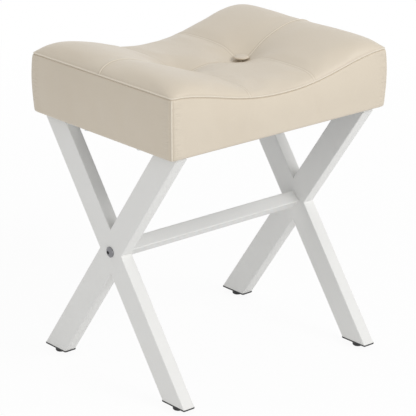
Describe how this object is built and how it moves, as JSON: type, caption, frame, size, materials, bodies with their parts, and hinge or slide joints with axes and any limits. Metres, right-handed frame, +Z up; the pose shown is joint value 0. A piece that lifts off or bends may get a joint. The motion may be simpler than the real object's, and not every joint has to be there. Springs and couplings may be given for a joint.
{
  "type": "vanity stool",
  "caption": "Vanity stool: button-tufted saddle cushion on X-shaped legs of flat-sided steel tube, joined by a stretcher, on levelling feet.",
  "frame": {"origin": "on the floor, below the middle of the seat, in the plane of the undersides of the levelling pads", "axes": "+Z up, +X along the stretcher from the left X frame to the right one, -Y towards the front"},
  "size_m": [0.412, 0.33, 0.488],
  "materials": {
    "white_powder_coat": "satin white powder coat with a fine texture",
    "zinc_steel": "zinc plated",
    "bright_screw": "bright nickel plated",
    "black_plastic": "matt moulded",
    "cream_cover": "smooth soft artificial leather",
    "plywood": "raw",
    "foam": "open cell foam",
    "twine": "waxed",
    "dust_cloth": "thin non-woven"
  },
  "bodies": {
    "frame": {"back_left_end_cap": "black_plastic", "back_right_end_cap": "black_plastic", "back_side_band": "cream_cover", "dust_cloth": "dust_cloth", "end_cap_nuts": "zinc_steel", "front_left_end_cap": "black_plastic", "front_right_end_cap": "black_plastic", "front_side_band": "cream_cover", "left_back_top_panel": "cream_cover", "left_crossing_screw": "bright_screw", "left_front_top_panel": "cream_cover", "left_long_leg": "white_powder_coat", "left_lower_half_leg": "white_powder_coat", "left_mounting_bar": "white_powder_coat", "left_side_band": "cream_cover", "left_stretcher_block": "zinc_steel", "left_tuft_button": "cream_cover", "left_upper_half_leg": "white_powder_coat", "middle_back_top_panel": "cream_cover", "middle_front_top_panel": "cream_cover", "right_back_top_panel": "cream_cover", "right_crossing_screw": "bright_screw", "right_front_top_panel": "cream_cover", "right_long_leg": "white_powder_coat", "right_lower_half_leg": "white_powder_coat", "right_mounting_bar": "white_powder_coat", "right_side_band": "cream_cover", "right_stretcher_block": "zinc_steel", "right_tuft_button": "cream_cover", "right_upper_half_leg": "white_powder_coat", "seat_board": "plywood", "seat_bolts": "zinc_steel", "seat_foam": "foam", "seat_washers": "zinc_steel", "staples": "zinc_steel", "stretcher_tube": "white_powder_coat", "tee_nuts": "zinc_steel", "tufting_twines": "twine", "twine_anchors": "zinc_steel"},
    "front_left_stud": {"front_left_levelling_stud": "zinc_steel"},
    "front_left_pad": {"front_left_levelling_pad": "black_plastic"},
    "front_right_stud": {"front_right_levelling_stud": "zinc_steel"},
    "front_right_pad": {"front_right_levelling_pad": "black_plastic"},
    "back_left_stud": {"back_left_levelling_stud": "zinc_steel"},
    "back_left_pad": {"back_left_levelling_pad": "black_plastic"},
    "back_right_stud": {"back_right_levelling_stud": "zinc_steel"},
    "back_right_pad": {"back_right_levelling_pad": "black_plastic"}
  },
  "joints": [
    {"name": "front_left_foot_travel", "type": "slide", "parent": "frame", "child": "front_left_stud", "axis": [0, 0, -1], "range_m": [0, 0.008]},
    {"name": "front_left_foot_turn", "type": "hinge", "parent": "front_left_stud", "child": "front_left_pad", "pos_m": [-0.1795, -0.13993, 0], "axis": [0, 0, -1], "range_deg": [0, 2304]},
    {"name": "front_right_foot_travel", "type": "slide", "parent": "frame", "child": "front_right_stud", "axis": [0, 0, -1], "range_m": [0, 0.008]},
    {"name": "front_right_foot_turn", "type": "hinge", "parent": "front_right_stud", "child": "front_right_pad", "pos_m": [0.1795, -0.13993, 0], "axis": [0, 0, -1], "range_deg": [0, 2304]},
    {"name": "back_left_foot_travel", "type": "slide", "parent": "frame", "child": "back_left_stud", "axis": [0, 0, -1], "range_m": [0, 0.008]},
    {"name": "back_left_foot_turn", "type": "hinge", "parent": "back_left_stud", "child": "back_left_pad", "pos_m": [-0.1795, 0.13993, 0], "axis": [0, 0, -1], "range_deg": [0, 2304]},
    {"name": "back_right_foot_travel", "type": "slide", "parent": "frame", "child": "back_right_stud", "axis": [0, 0, -1], "range_m": [0, 0.008]},
    {"name": "back_right_foot_turn", "type": "hinge", "parent": "back_right_stud", "child": "back_right_pad", "pos_m": [0.1795, 0.13993, 0], "axis": [0, 0, -1], "range_deg": [0, 2304]}
  ],
  "couplings": [
    {"joint": "front_left_foot_turn", "follows": "front_left_foot_travel", "rad_per_m": 5026.5},
    {"joint": "front_right_foot_turn", "follows": "front_right_foot_travel", "rad_per_m": 5026.5},
    {"joint": "back_left_foot_turn", "follows": "back_left_foot_travel", "rad_per_m": 5026.5},
    {"joint": "back_right_foot_turn", "follows": "back_right_foot_travel", "rad_per_m": 5026.5}
  ]
}
